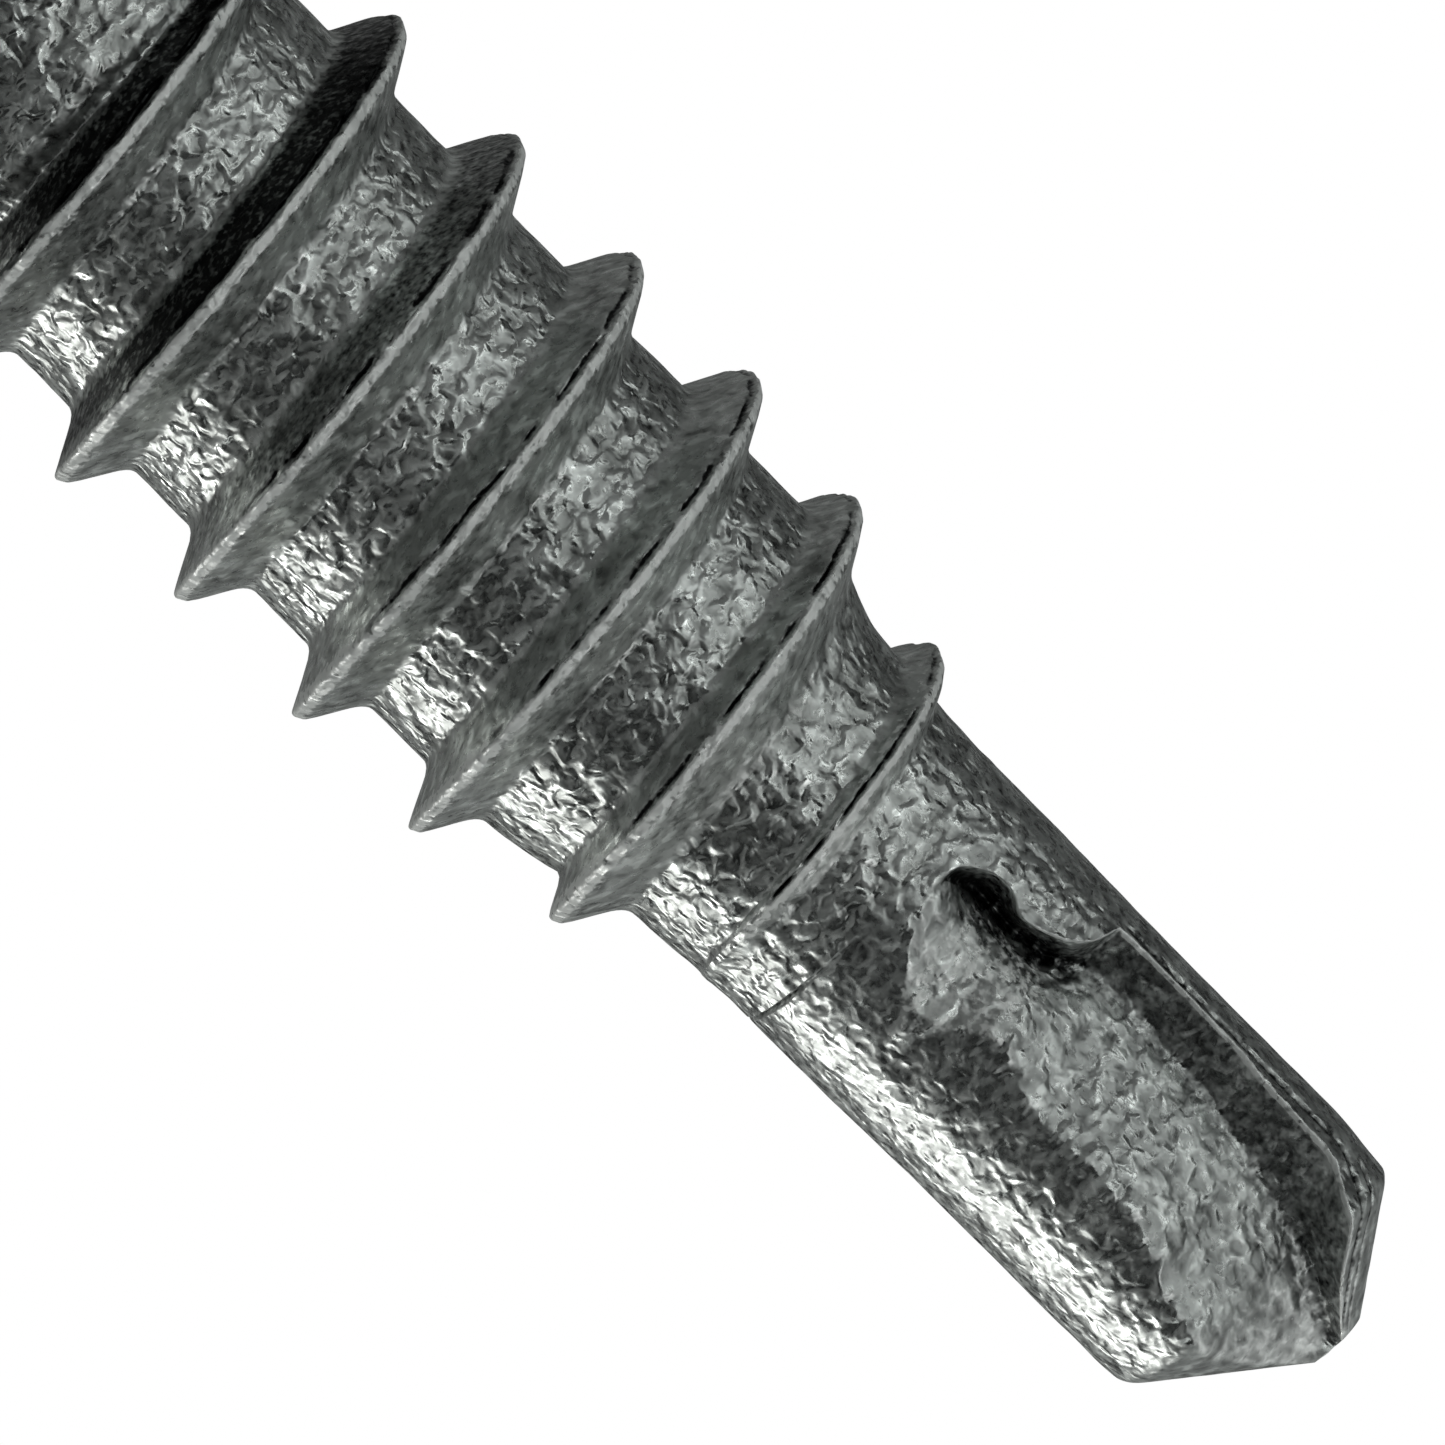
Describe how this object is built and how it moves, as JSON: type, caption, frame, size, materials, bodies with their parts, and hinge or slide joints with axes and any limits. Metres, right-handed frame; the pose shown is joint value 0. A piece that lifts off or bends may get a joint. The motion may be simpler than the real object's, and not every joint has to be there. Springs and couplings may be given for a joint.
{
  "type": "self-drilling sealing screw",
  "caption": "Hex washer head self-drilling screw with coarse thread, fluted drill point, cupped steel washer and rubber sealing ring.",
  "frame": {"origin": "middle of the head's top face, on which the screw stands with its point up", "axes": "+Z along the screw's axis from the head to the point, +X out of one flat of the hexagon"},
  "size_m": [0.016, 0.016, 0.0306],
  "materials": {
    "plated_shank": "mid-grey zinc plating on cold-formed steel, satin, with fine dings and bright rubbed thread crests",
    "plated_point": "zinc plating on pressed, hardened steel, satin, pitted, with fine scoring in the flutes",
    "galvanised_washer": "galvanised pressed steel, satin, with faint spangle",
    "black_rubber": "matte black vulcanised rubber"
  },
  "bodies": {
    "screw": {"headed_shank": "plated_shank", "drill_point": "plated_point"},
    "washer": {"cup_washer": "galvanised_washer"},
    "seal": {"sealing_ring": "black_rubber"}
  },
  "joints": [
    {"name": "washer_slide", "type": "slide", "parent": "screw", "child": "washer", "axis": [0, 0, 1], "range_m": [0, 0.0018]},
    {"name": "seal_spin", "type": "hinge", "parent": "washer", "child": "seal", "pos_m": [0, 0, 0.0079], "axis": [0, 0, 1], "continuous": true}
  ]
}
